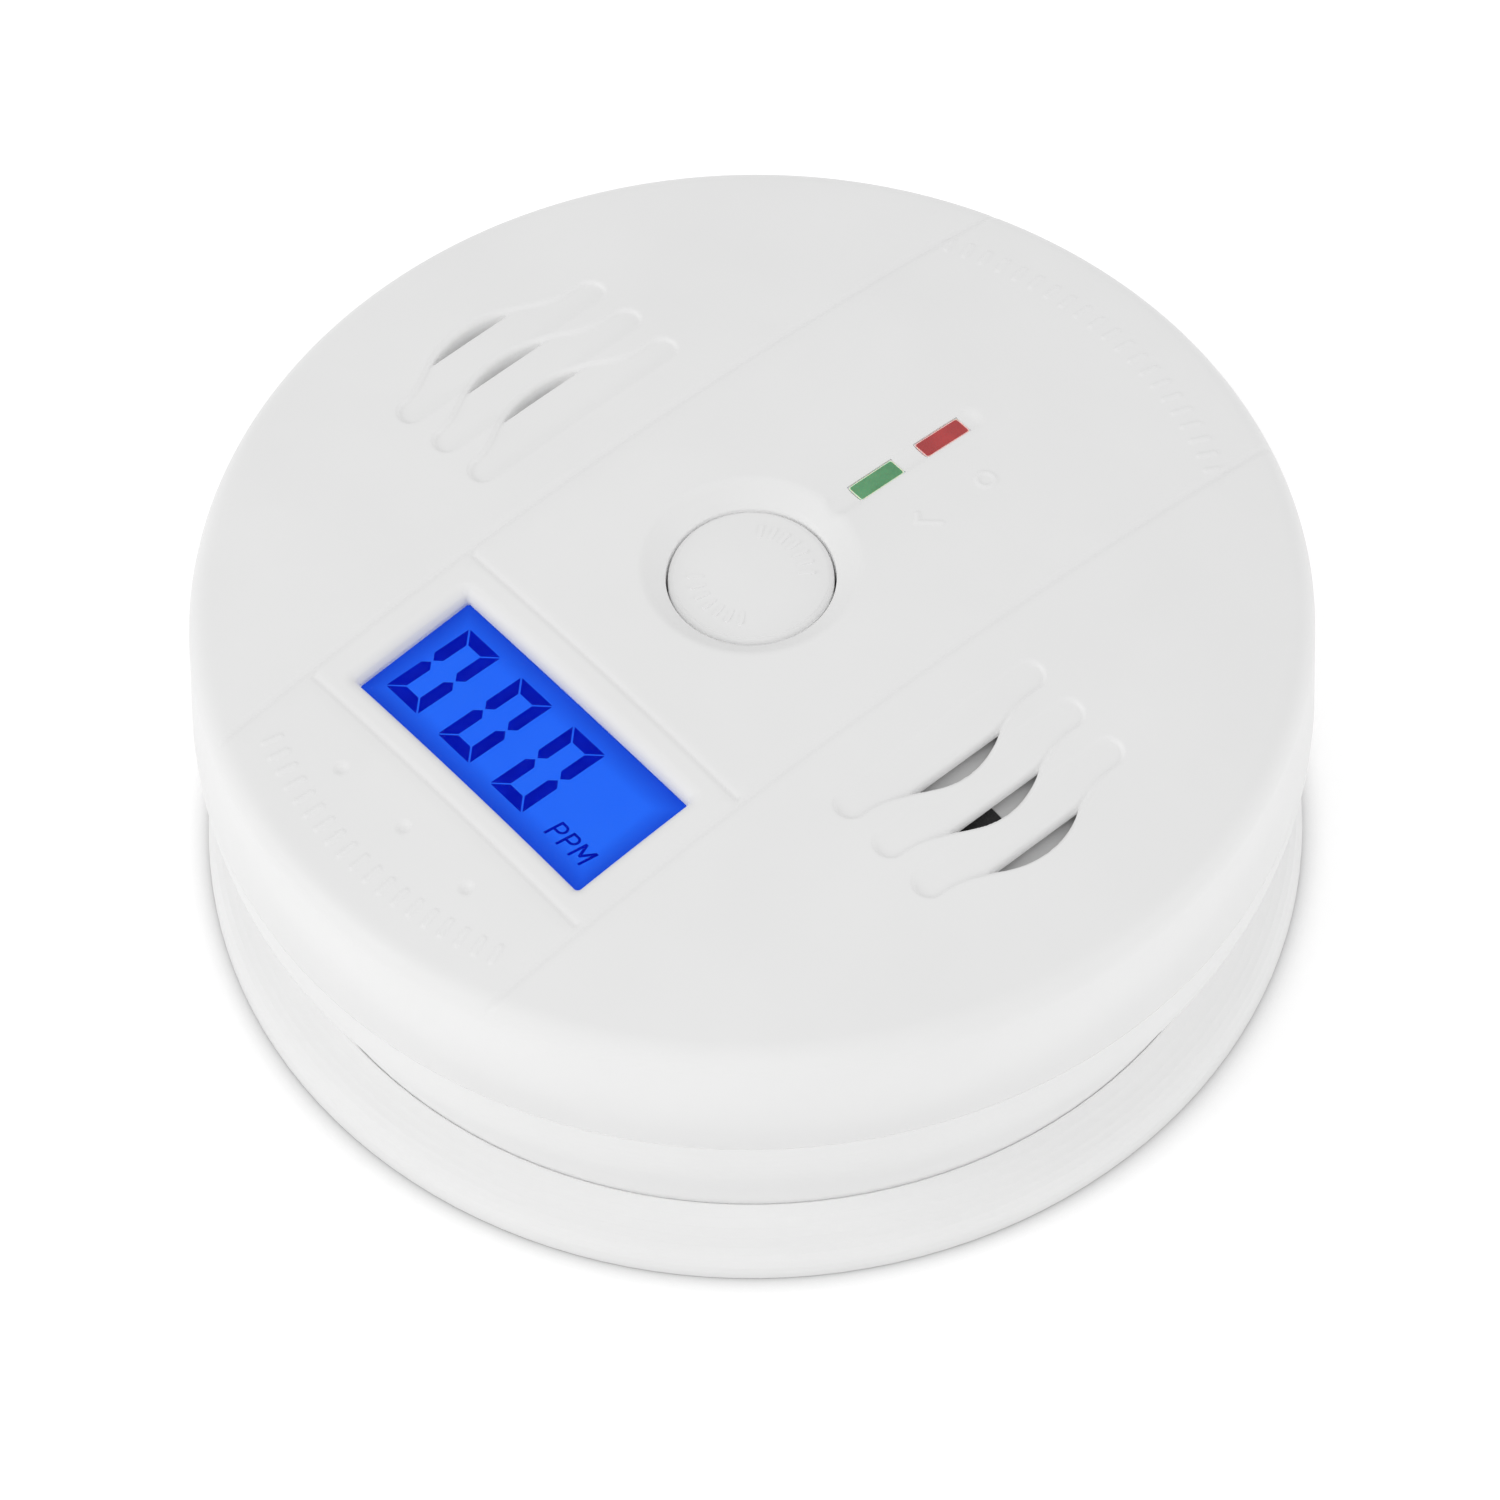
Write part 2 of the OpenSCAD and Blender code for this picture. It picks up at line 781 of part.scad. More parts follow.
module display_frame() {
  frame_w = window_w + 5;
  frame_h = window_h + 5;
  color("white")
    difference() {
      translate([-frame_w / 2, -window_y - frame_h / 2, board_top]) cube([frame_w, frame_h, 14]);
      translate([-frame_w / 2 + 1.3, -window_y - frame_h / 2 + 1.3, board_top - 1])
        cube([frame_w - 2.6, frame_h - 2.6, 16]);
      window_box(60, 60, -12, 4.4);
    }
}

module display_connectors() {
  strip = 1.1;
  color("darkgray")
    difference() {
      for (s = [-1, 1])
        translate([-window_w / 2, -window_y + 0.3 + s * (window_h / 2 + 0.15) - strip / 2, board_top])
          cube([window_w, strip, 12]);
      window_box(60, 60, -12, glass_top + glass_t + 0.02);
    }
}

mounting_plate();
rear_housing();
front_cover();
cover_screws();
battery(0);  // battery_1
battery(1);  // battery_2
battery(2);  // battery_3
battery_springs();
battery_contacts();
circuit_board();
board_screws();
microcontroller();
boost_transformer();
capacitors();
chip_parts();
gas_sensor();
sensor_shroud();
sensor_filter();
sounder_case();
sounder_disc();
tact_switch();
switch_plunger();
test_button();
button_spring();
led(power_y, "lightyellow");  // power_led
led(alarm_y, "lightyellow");  // alarm_led
light_pipe(power_y, "seagreen");  // power_light_pipe
light_pipe(alarm_y, "firebrick");  // alarm_light_pipe
display_lens();
display_glass();
display_segments();
display_backlight();
display_frame();
display_connectors();
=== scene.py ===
"""Looks of a round battery carbon monoxide alarm that lies on its mounting plate, on a pale floor.

The front cover is a dense mesh worked out from formulas, so that its edges are soft. The button's spring is
a copy of the CAD spring. Every other sub-part is the CAD node with a better material.
Shape functions work in millimetres, materials in metres.
"""

import math

import bpy
import numpy as np
from mathutils import Matrix, Vector
from mathutils.geometry import delaunay_2d_cdt


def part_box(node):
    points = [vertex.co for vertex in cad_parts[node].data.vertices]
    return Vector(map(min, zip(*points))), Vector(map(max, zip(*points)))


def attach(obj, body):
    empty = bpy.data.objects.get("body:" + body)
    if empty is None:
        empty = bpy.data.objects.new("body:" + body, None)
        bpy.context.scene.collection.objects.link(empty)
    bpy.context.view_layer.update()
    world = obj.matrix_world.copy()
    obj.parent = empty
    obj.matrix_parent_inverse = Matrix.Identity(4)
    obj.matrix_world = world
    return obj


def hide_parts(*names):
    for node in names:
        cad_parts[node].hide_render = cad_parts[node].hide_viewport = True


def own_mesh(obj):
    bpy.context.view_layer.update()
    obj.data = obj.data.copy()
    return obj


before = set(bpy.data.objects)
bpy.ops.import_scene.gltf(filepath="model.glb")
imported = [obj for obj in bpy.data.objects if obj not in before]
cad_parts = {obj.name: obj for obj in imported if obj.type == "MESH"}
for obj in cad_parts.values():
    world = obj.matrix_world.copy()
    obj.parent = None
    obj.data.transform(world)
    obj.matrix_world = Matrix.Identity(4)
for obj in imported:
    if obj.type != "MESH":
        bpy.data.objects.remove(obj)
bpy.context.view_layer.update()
MM = 0.001


def edge(node, axis, side):
    """One side of a CAD node's box in millimetres: axis 0 to 2, side 0 low or 1 high."""
    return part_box(node)[side][axis] / MM


def srgb(r, g, b):
    """Linear colour of an 8-bit display colour."""
    scaled = (r / 255, g / 255, b / 255)
    return tuple(c / 12.92 if c <= 0.04045 else ((c + 0.055) / 1.055) ** 2.4 for c in scaled)


# ---------------------------------------------------------------- sizes, from the frame and the moulding
ALARM_R = edge("front_cover", 0, 1)
PARTING_Z = edge("front_cover", 2, 0)
FACE_Z = 37.5
DOME_DROP = 4.4
DOME_R = (ALARM_R**2 + DOME_DROP**2) / (2 * DOME_DROP)
DOME_Z0 = FACE_Z - DOME_R
RIM_ROUND = 2.5
RIM_OUT_R = ALARM_R - 0.5
RIM_C = RIM_OUT_R - RIM_ROUND
RIM_Z = DOME_Z0 + math.sqrt((DOME_R - RIM_ROUND) ** 2 - RIM_C**2)
RIM_MEET_R = RIM_C * DOME_R / (DOME_R - RIM_ROUND)
WALL = 1.8
LAP, LAP_HEIGHT = 2.35, 2.6
BOSS_AT_R, BOSS_R, BOSS_BORE, BOSS_TOP = 37.0, 3.2, 1.3, 33.9
BOSS_ANGLES = (90, 210, 330)

GROOVE_X = 18.2
GROOVE_HALF = 0.5
GROOVE_DEPTH = 0.2
BEZEL_Y = (-35.1, -17.0)
BUTTON_HOLE_R = 7.5
DISH_R = 9.6
DISH_Z = FACE_Z - 1.8
GUIDE_R = 8.9
GUIDE_Z = 32.0
COLLAR_R = 11.0
COLLAR_Z = 33.6

WINDOW_W, WINDOW_H, WINDOW_Y = 29.6, 12.5, -26.3
WINDOW_CORNER = 0.3
WINDOW_ROUND = 1.4
GLASS_TOP = 2.45
REBATE = 1.1
COLLAR_WALL = 2.7
COLLAR_DEPTH = 4.3

LOUVRES = 3
LOUVRE_X, LOUVRE_PITCH, LOUVRE_W, LOUVRE_LEN, LOUVRE_Y = 22.8, 5.0, 3.0, 23.4, 0.3
LOUVRE_DEPTH = 0.36
SLOT_START = {1: 3.8, -1: 4.9}
SLOT_BULGE = {1: 5.5, -1: 6.1}
SLOT_Y = {1: 0.0, -1: -0.6}
SLOT_R = 9.0
CHORD_ROUND = {1: 0.95, -1: 0.35}
ARC_ROUND = 0.4
DUCT_DEPTH = {1: 1.6, -1: 4.0}
DUCT_WALL = 0.7

CHANNEL_HALF, CHANNEL_Y, CHANNEL_DEPTH = 0.95, (9.4, 26.6), 0.34
PIPE_W, PIPE_LEN, PIPE_Y = 1.9, 5.1, (14.7, 22.5)
PIPE_GAP, PIPE_CORNER, PIPE_LIT_FRINGE = 0.06, 0.3, 0.09

DIMPLES = [(8.4 * k, -39.5) for k in (-1, 0, 1)]
DIMPLE_R, DIMPLE_DEPTH = 0.85, 0.28

MARK_HEIGHT = 0.13
MARK_ARCS = [(-90, 44.4, 19, 2.2), (90, 43.0, 21, 2.4)]
TICK_AT, RING_AT, RING_R = (6.0, 14.1), (6.2, 22.1), 0.8

# Fineness of the mesh: the grids' square sizes, the steps along the outlines, and the angle in degrees
# beyond which an edge stays crisp
GRID_HALF = 49.6
GRID_SIZES = (1.6, 0.8, 0.4, 0.2, 0.11)
UNDERSIDE_HALF, UNDERSIDE_SIZE = 48.0, 2.4
WINDOW_STEP, PIPE_STEP, SLOT_STEP = 0.35, 0.2, 0.14
CORNER_STEPS, RIM_STEPS, BUTTON_STEPS, BOSS_STEPS = 5, 12, 240, 48
CRISP_ANGLE = 50

# White plastic, and painted light: the paler colour painted into each moulding's crevices, and the paler
# still one painted into the deepest seams of all of them
SHELL_COLOUR = (0.73, 0.73, 0.729)
FACE_CREVICE_LIGHT = (0.83, 0.83, 0.829)
HOUSING_COLOUR = (0.71, 0.71, 0.709)
HOUSING_CREVICE_LIGHT = (0.86, 0.86, 0.859)
PLATE_CREVICE_LIGHT = (0.88, 0.88, 0.879)
SEAM_PAINTED_LIGHT = (0.97, 0.97, 0.969)
# In metres: how far off a surface still counts as shelter, for the painted crevice light and the floor's
# painted contact shadow; the lowest height at which the plate gets painted crevice light; and the width of
# the display's dark border, which is partly the backlight's own falloff and partly painted shade
CREVICE_LIGHT_REACH = 0.008
CONTACT_SHADOW_REACH = 0.005
PLATE_CREVICE_LIGHT_FROM = 0.0018
DISPLAY_FALLOFF_AND_SHADE_BORDER = 0.0032
# Deep and pale colour of each light pipe, and the pale colour of the painted light round its edge
PIPE_GREENS = srgb(66, 132, 84), srgb(88, 158, 106), srgb(214, 226, 196)
PIPE_REDS = srgb(152, 20, 24), srgb(178, 36, 38), srgb(240, 186, 180)


# ---------------------------------------------------------------- distances and profiles
def ease(t):
    t = np.clip(t, 0, 1)
    return t * t * (3 - 2 * t)


def smooth_min(a, b, k):
    h = np.clip(0.5 + 0.5 * (b - a) / k, 0, 1)
    return b + (a - b) * h - k * h * (1 - h)


def box_distance(x, y, half_w, half_h, corner=0.0):
    qx, qy = np.abs(x) - half_w + corner, np.abs(y) - half_h + corner
    outside = np.hypot(np.maximum(qx, 0), np.maximum(qy, 0))
    return outside + np.minimum(np.maximum(qx, qy), 0) - corner


def side_value(x, pair):
    """The value that belongs to the side of the face that x is on."""
    return np.where(x < 0, pair[-1], pair[1])


def slot_distance(x, y, i, inward=0.0):
    """Distance to the crescent of louvre i: a chord on the inner side, an arc on the outer side."""
    x0 = LOUVRE_X + LOUVRE_PITCH * i
    bulge = side_value(x, SLOT_BULGE)
    arc = np.hypot(np.abs(x) - (x0 + bulge - SLOT_R), y - side_value(x, SLOT_Y)) - SLOT_R
    return -smooth_min(-arc, np.abs(x) - (x0 + side_value(x, SLOT_START) - inward), 0.3)


def louvre_distance(x, y, i):
    """Distance to the shallow channel of louvre i, which swells outward round its slot."""
    middle = LOUVRE_X + LOUVRE_PITCH * i + LOUVRE_W / 2
    half_w = LOUVRE_W / 2
    channel = box_distance(np.abs(x) - middle, y - LOUVRE_Y, half_w, LOUVRE_LEN / 2, half_w - 0.01)
    return smooth_min(channel, slot_distance(x, y, i, 1.1) - 0.3, 2.2)


def window_distance(x, y, grow=0.0, corner=WINDOW_CORNER):
    return box_distance(x, y - WINDOW_Y, WINDOW_W / 2 + grow, WINDOW_H / 2 + grow, corner)


def pipe_distance(x, y, k):
    return box_distance(x, y - PIPE_Y[k], PIPE_W / 2 + PIPE_GAP, PIPE_LEN / 2 + PIPE_GAP)


def channel_distance(x, y):
    middle = (CHANNEL_Y[0] + CHANNEL_Y[1]) / 2
    return box_distance(x, y - middle, CHANNEL_HALF, (CHANNEL_Y[1] - CHANNEL_Y[0]) / 2, 0.9)


def bar_distance(x, y, start, length, angle):
    """Distance to a straight bar's middle line, from its start along the angle in degrees."""
    a = math.radians(angle)
    along = np.clip((x - start[0]) * math.cos(a) + (y - start[1]) * math.sin(a), 0, length)
    return np.hypot(x - start[0] - along * math.cos(a), y - start[1] - along * math.sin(a))


def marks_distance(x, y):
    """Distance to the outlines of the raised signs on the face, negative inside one."""
    r, angle = np.hypot(x, y), np.degrees(np.arctan2(y, x))
    marks = [bar_distance(x, y, TICK_AT, 1.0, 135) - 0.2, bar_distance(x, y, TICK_AT, 2.2, 50) - 0.2]
    marks.append(np.abs(np.hypot(x - RING_AT[0], y - RING_AT[1]) - RING_R) - 0.2)
    for middle, radius, count, step in MARK_ARCS:
        place = (angle - middle) / step
        nearest = np.clip(np.round(place), -(count - 1) / 2, (count - 1) / 2)
        aside = np.radians((place - nearest) * step) * r
        marks.append(np.hypot(np.maximum(np.abs(r - radius) - 0.75, 0), aside) - 0.25)
    return np.min(marks, axis=0)


def dome(x, y, depth=0.0):
    return DOME_Z0 + np.sqrt((DOME_R - depth) ** 2 - x**2 - y**2)


def groove(distance):
    return GROOVE_DEPTH * ease(1 - np.abs(distance) / GROOVE_HALF)


def rounded_drop(distance, radius):
    """How far a quarter-round edge has fallen, distance outside the wall that it leads to."""
    t = np.clip(radius - distance, 0, radius)
    return radius - np.sqrt(radius**2 - t**2)


def grooves_depth(x, y):
    long_ones = groove(np.abs(x) - GROOVE_X)
    between = ease((GROOVE_X - np.abs(x)) / GROOVE_HALF)
    across = groove(np.minimum(np.abs(y - BEZEL_Y[0]), np.abs(y - BEZEL_Y[1]))) * between
    return np.maximum(long_ones, across)


def louvre_drop(x, y, i):
    """How far the channel of louvre i and the soft edges of its slot lower the face."""
    across = np.abs(x) - LOUVRE_X - LOUVRE_PITCH * i
    channel = LOUVRE_DEPTH * ease(0.5 - louvre_distance(x, y, i) / 0.5) * ease((across + 0.3) / 1.5)
    away = np.maximum(slot_distance(x, y, i), 0)
    chord_side = ease(0.5 + (side_value(x, SLOT_START) + 0.1 - across) / 0.8)
    at_arc = rounded_drop(away, ARC_ROUND)
    at_chord = rounded_drop(away, side_value(x, CHORD_ROUND))
    return channel + at_arc * (1 - chord_side) + at_chord * chord_side


def face_height(x, y):
    """Height of the moulded face, with its grooves, dish, channels and soft edges."""
    r = np.hypot(x, y)
    z = dome(x, y) - grooves_depth(x, y)
    slope = (dome(DISH_R, 0.0) - DISH_Z) / (DISH_R - BUTTON_HOLE_R)
    z = smooth_min(z, DISH_Z + slope * (r - BUTTON_HOLE_R), 0.35)
    z = z - 0.12 * ease(1 - (r - BUTTON_HOLE_R) / 0.3)
    z = z - CHANNEL_DEPTH * ease(0.5 - channel_distance(x, y) / 1.1) * ease((r - 8.4) / 1.0)
    for i in range(LOUVRES):
        z = z - louvre_drop(x, y, i)
    z = z - rounded_drop(np.maximum(window_distance(x, y), 0), WINDOW_ROUND)
    for cx, cy in DIMPLES:
        z = z - DIMPLE_DEPTH * ease(1 - (np.hypot(x - cx, y - cy) - 0.15) / (DIMPLE_R - 0.15))
    return z + MARK_HEIGHT * ease(0.5 - marks_distance(x, y) / 0.3)


def feature_distance(x, y):
    """Rough distance to the nearest edge that needs a fine mesh."""
    near = [np.maximum(np.abs(marks_distance(x, y)), 0.05)]
    near.append(np.maximum(np.abs(np.hypot(x, y) - DISH_R) - 0.3, 0) + 0.15)
    near.append(np.abs(np.hypot(x, y) - BUTTON_HOLE_R))
    near.append(np.maximum(np.abs(window_distance(x, y) - WINDOW_ROUND / 2) - WINDOW_ROUND / 2, 0))
    near.append(np.abs(channel_distance(x, y)))
    for i in range(LOUVRES):
        near.append(np.abs(louvre_distance(x, y, i)))
        near.append(np.maximum(np.abs(slot_distance(x, y, i) - 0.4) - 0.5, 0))
    for cx, cy in DIMPLES:
        near.append(np.maximum(np.hypot(x - cx, y - cy) - DIMPLE_R, 0) + 0.1)
    return np.min(near, axis=0)


# ---------------------------------------------------------------- outlines
def circle_loop(radius, angles):
    return np.column_stack([radius * np.cos(angles), radius * np.sin(angles)])


def rectangle_loop(half_w, half_h, corner, counts):
    """Anticlockwise rounded rectangle about the origin, with so many points along its width and height."""
    sx, sy = half_w - corner, half_h - corner
    starts = np.array([(-sx, -half_h), (half_w, -sy), (sx, half_h), (-half_w, sy)])
    ends = np.array([(sx, -half_h), (half_w, sy), (-sx, half_h), (-half_w, -sy)])
    corners = np.array([(sx, -sy), (sx, sy), (-sx, sy), (-sx, -sy)])
    points = []
    for side in range(4):
        along = np.linspace(0, 1, counts[side % 2], endpoint=False)[:, None]
        points.append(starts[side] + (ends[side] - starts[side]) * along)
        turn = np.radians(np.linspace(90 * side - 90, 90 * side, CORNER_STEPS, endpoint=False))
        points.append(corners[side] + circle_loop(corner, turn))
    return np.vstack(points)


def window_loop(grow, corner):
    """The display opening about the origin, with the same number of points however far it has grown."""
    counts = (int(WINDOW_W / WINDOW_STEP), int(WINDOW_H / WINDOW_STEP))
    return rectangle_loop(WINDOW_W / 2 + grow, WINDOW_H / 2 + grow, corner, counts)


def pipe_loop(y):
    """The opening round one light pipe, whose middle is at the height y on the face."""
    half_w, half_h = PIPE_W / 2 + PIPE_GAP, PIPE_LEN / 2 + PIPE_GAP
    counts = (int(2 * half_w / PIPE_STEP), int(2 * half_h / PIPE_STEP))
    return rectangle_loop(half_w, half_h, 0.08, counts) + [0, y]


def slot_loop(i, side):
    """Anticlockwise outline of one crescent slot: each ray from its middle is halved down to the edge."""
    x0 = LOUVRE_X + LOUVRE_PITCH * i
    centre = np.array([side * (x0 + (SLOT_START[side] + SLOT_BULGE[side]) / 2), SLOT_Y[side]])
    angles = np.linspace(0, 2 * math.pi, 900, endpoint=False)
    direction = np.column_stack([np.cos(angles), np.sin(angles)])
    low, high = np.zeros(len(angles)), np.full(len(angles), 12.0)
    for _ in range(30):
        middle = (low + high) / 2
        p = centre + direction * middle[:, None]
        inside = slot_distance(p[:, 0], p[:, 1], i) < 0
        low, high = np.where(inside, middle, low), np.where(inside, high, middle)
    return even_spacing(centre + direction * low[:, None], SLOT_STEP)


def grown_loop(loop, distance):
    """The same number of points, moved outward from an anticlockwise loop."""
    along = np.roll(loop, -1, axis=0) - np.roll(loop, 1, axis=0)
    outward = np.column_stack([along[:, 1], -along[:, 0]])
    return loop + distance * outward / np.hypot(*outward.T)[:, None]


def even_spacing(loop, step):
    closed = np.vstack([loop, loop[:1]])
    along = np.concatenate([[0], np.cumsum(np.hypot(*np.diff(closed, axis=0).T))])
    at = np.linspace(0, along[-1], int(along[-1] / step), endpoint=False)
    return np.column_stack([np.interp(at, along, closed[:, 0]), np.interp(at, along, closed[:, 1])])


# ---------------------------------------------------------------- mesh helpers
def triangulate(loops, inner_points, keep):
    """Triangles over the loops' points and the inner points, without those whose middle fails keep()."""
    points = np.vstack(loops + [inner_points])
    edges, start = [], 0
    for loop in loops:
        n = len(loop)
        edges += [(start + k, start + (k + 1) % n) for k in range(n)]
        start += n
    result = delaunay_2d_cdt([Vector(p) for p in points], edges, [], 0, 1e-7, True)
    verts = np.array([tuple(v) for v in result[0]])
    faces = np.array([tuple(f) for f in result[2]])
    original = np.array([o[0] if o else -1 for o in result[3]])
    middles = verts[faces].mean(axis=1)
    faces = faces[keep(middles[:, 0], middles[:, 1])]
    faces = original[faces]
    a, b, c = points[faces[:, 0]], points[faces[:, 1]], points[faces[:, 2]]
    turned = (b[:, 0] - a[:, 0]) * (c[:, 1] - a[:, 1]) - (b[:, 1] - a[:, 1]) * (c[:, 0] - a[:, 0]) < 0
    faces[turned] = faces[turned][:, ::-1]
    return points, faces


class Builder:
    """Collects vertices and faces, in millimetres, and makes one object of them."""

    def __init__(self):
        self.verts, self.faces = [], []

    def add(self, points):
        start = len(self.verts)
        self.verts += [tuple(p) for p in points]
        return np.arange(start, len(self.verts))

    def skin(self, lower, upper):
        """Joins two closed rings of the same length, with the outside on the right of the lower ring."""
        n = len(lower)
        for k in range(n):
            m = (k + 1) % n
            self.faces.append((lower[k], lower[m], upper[m], upper[k]))

    def tube(self, rings):
        for lower, upper in zip(rings, rings[1:]):
            self.skin(lower, upper)

    def triangles(self, faces, index):
        self.faces += [tuple(index[f]) for f in faces]

    def lathe(self, profile, centre, segments):
        """Closed ring of the profile's (radius, height) points, given with the outside on their right."""
        angles = np.linspace(0, 2 * math.pi, segments, endpoint=False)
        rings = [
            self.add(np.column_stack([circle_loop(r, angles) + centre, np.full(segments, z)]))
            for r, z in profile
        ]
        self.tube(rings + rings[:1])

    def make(self, name, body, material, node):
        mesh = bpy.data.meshes.new(name)
        verts = [(x * MM, y * MM, z * MM) for x, y, z in self.verts]
        mesh.from_pydata(verts, [], [tuple(map(int, f)) for f in self.faces])
        mesh.validate()
        mesh.shade_smooth()
        obj = bpy.data.objects.new(name, mesh)
        bpy.context.scene.collection.objects.link(obj)
        mesh.materials.append(material)
        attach(obj, body)
        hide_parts(node)
        return obj


def face_points():
    """Points on a square grid that gets finer near each edge of the face."""
    grid = np.arange(-GRID_HALF, GRID_HALF + 0.1, GRID_SIZES[0])
    cells = np.array([(x, y) for x in grid for y in grid])
    points = []
    for size, finer in zip(GRID_SIZES, GRID_SIZES[1:]):
        split = feature_distance(cells[:, 0], cells[:, 1]) < size * 1.1
        points.append(cells[~split])
        quarters = [(dx, dy) for dx in (-finer / 2, finer / 2) for dy in (-finer / 2, finer / 2)]
        cells = np.vstack([cells[split] + offset for offset in quarters])
    points = np.vstack(points + [cells])
    x, y = np.abs(points[:, 0]), points[:, 1]
    near_long = np.abs(x - GROOVE_X) < GROOVE_HALF + 0.2
    to_cross = np.min([np.abs(y - level) for level in BEZEL_Y], axis=0)
    near_cross = (x < GROOVE_X) & (to_cross < GROOVE_HALF + 0.2)
    return np.vstack([points[~near_long & ~near_cross], groove_points()])


def groove_points():
    """Rows of points that follow the grooves, so that their lines stay straight."""
    rows = []
    across = np.linspace(-GROOVE_HALF, GROOVE_HALF, 7)
    for side in (1, -1):
        along = np.arange(-47, 47.1, 0.5)
        rows += [np.column_stack([np.full(len(along), side * GROOVE_X + a), along]) for a in across]
    along = np.linspace(-GROOVE_X + GROOVE_HALF + 0.2, GROOVE_X - GROOVE_HALF - 0.2, 72)
    for level in BEZEL_Y:
        rows += [np.column_stack([along, np.full(len(along), level + a)]) for a in across]
    return np.vstack(rows)


def rim_angles():
    """Angles round the rim, finer where the two long grooves cross it."""
    base = np.arange(0, 360, 1.0)
    crossing = math.degrees(math.acos(GROOVE_X / (RIM_C + 1)))
    fine = [s * crossing + o for s in (1, -1) for o in np.arange(-2.6, 2.7, 0.12)]
    fine += [180 - a for a in fine]
    angles = np.sort(np.concatenate([base, np.mod(fine, 360)]))
    keep = np.concatenate([[True], np.diff(angles) > 0.05])
    return np.radians(angles[keep])


# ---------------------------------------------------------------- pieces
def clearance(x, y, hole_r=BUTTON_HOLE_R, grow=0.0, duct=0.0):
    """Least distance to any hole of the face, negative inside one."""
    holes = [np.hypot(x, y) - hole_r, window_distance(x, y, grow)]
    holes += [pipe_distance(x, y, k) for k in range(len(PIPE_Y))]
    holes += [slot_distance(x, y, i) - duct for i in range(LOUVRES)]
    return np.min(holes, axis=0)


def ring_groups(index, loops):
    """The vertices of each loop, which come first in the index, in the loops' order."""
    starts = np.cumsum([0] + [len(loop) for loop in loops])
    return [index[s:e] for s, e in zip(starts, starts[1:])]


def level_ring(b, loop, z):
    return b.add(np.column_stack([loop, np.full(len(loop), z)]))


def outer_skin(b, loops):
    """The moulded face between the loops; gives back the loops' vertices."""
    p = face_points()
    p = p[(np.hypot(p[:, 0], p[:, 1]) < RIM_MEET_R - 0.25) & (clearance(p[:, 0], p[:, 1]) > 0.06)]
    points, faces = triangulate(loops, p, lambda x, y: clearance(x, y) > 0)
    index = b.add(np.column_stack([points, face_height(points[:, 0], points[:, 1])]))
    b.triangles(faces, index)
    return ring_groups(index, loops)


def inner_skin(b, loops):
    """The underside of the face, with collars and ducts in place of the holes."""
    inner = (COLLAR_R, COLLAR_WALL, DUCT_WALL)
    grid = np.arange(-UNDERSIDE_HALF, UNDERSIDE_HALF + 0.1, UNDERSIDE_SIZE)
    q = np.array([(x, y) for x in grid for y in grid])
    q = q[(np.hypot(q[:, 0], q[:, 1]) < RIM_C - 1) & (clearance(q[:, 0], q[:, 1], *inner) > 0.5)]
    points, faces = triangulate(loops, q, lambda x, y: clearance(x, y, *inner) > 0)
    index = b.add(np.column_stack([points, dome(points[:, 0], points[:, 1], WALL)]))
    b.triangles(faces[:, ::-1], index)
    return ring_groups(index, loops)


def rim_and_side(b, angles, upper, lower):
    """Rounded rim with the ends of the long grooves, the side, and the lap over the housing."""
    rings = [upper]
    lean = math.atan2(RIM_C, RIM_Z - DOME_Z0)
    for t in np.linspace(lean, math.pi / 2 - 0.03, RIM_STEPS)[1:]:
        r, z = RIM_C + RIM_ROUND * math.sin(t), RIM_Z + RIM_ROUND * math.cos(t)
        ring = circle_loop(r, angles)
        cut = grooves_depth(ring[:, 0], np.zeros(len(ring))) * (1 - ease((t - lean) / 1.1))
        scale = 1 - cut * math.sin(t) / r
        rings.append(b.add(np.column_stack([ring * scale[:, None], z - cut * math.cos(t)])))
    bore = ALARM_R - LAP
    side = [(ALARM_R, PARTING_Z + 0.1), (ALARM_R - 0.08, PARTING_Z), (bore, PARTING_Z)]
    side += [(bore, PARTING_Z + LAP_HEIGHT), (RIM_C + 0.05, PARTING_Z + LAP_HEIGHT)]
    rings += [level_ring(b, circle_loop(r, angles), z) for r, z in side]
    b.tube((rings + [lower])[::-1])


def button_tube(b, angles, upper, lower):
    """Guide tube under the button's dish, with a collar round its top."""
    tube = [(BUTTON_HOLE_R, GUIDE_Z), (GUIDE_R, GUIDE_Z), (GUIDE_R, COLLAR_Z), (COLLAR_R, COLLAR_Z)]
    b.tube([upper] + [level_ring(b, circle_loop(r, angles), z) for r, z in tube] + [lower])


def window_collar(b, upper, lower):
    """Display opening, lens rebate and collar, square to the face below them."""
    turn = np.array(Matrix.Rotation(math.asin(-WINDOW_Y / DOME_R), 3, "X"))
    rings = [upper]
    steps = [(0, GLASS_TOP), (REBATE, GLASS_TOP), (REBATE, COLLAR_DEPTH), (COLLAR_WALL, COLLAR_DEPTH)]
    for grow, depth in steps:
        loop = window_loop(grow, WINDOW_CORNER)
        flat = np.column_stack([loop, np.full(len(loop), -depth)])
        rings.append(b.add(flat @ turn.T + [0, WINDOW_Y, float(dome(0.0, WINDOW_Y))]))
    b.tube(rings + [lower])


def slot_duct(b, slot, duct, upper, lower):
    """Wall that goes down from a louvre's slot and back up to the underside of the face."""
    ends = []
    for loop in (slot, duct):
        depth = side_value(loop[:, 0], DUCT_DEPTH)
        ends.append(b.add(np.column_stack([loop, dome(loop[:, 0], loop[:, 1], depth)])))
    b.tube([upper, *ends, lower])


def screw_bosses(b):
    """Three hollow bosses for the screws that come through the housing."""
    low, high = PARTING_Z + 0.05, BOSS_TOP
    for at in circle_loop(BOSS_AT_R, np.radians(BOSS_ANGLES)):
        b.lathe([(BOSS_BORE, low), (BOSS_R, low), (BOSS_R, high), (BOSS_BORE, high)], at, BOSS_STEPS)


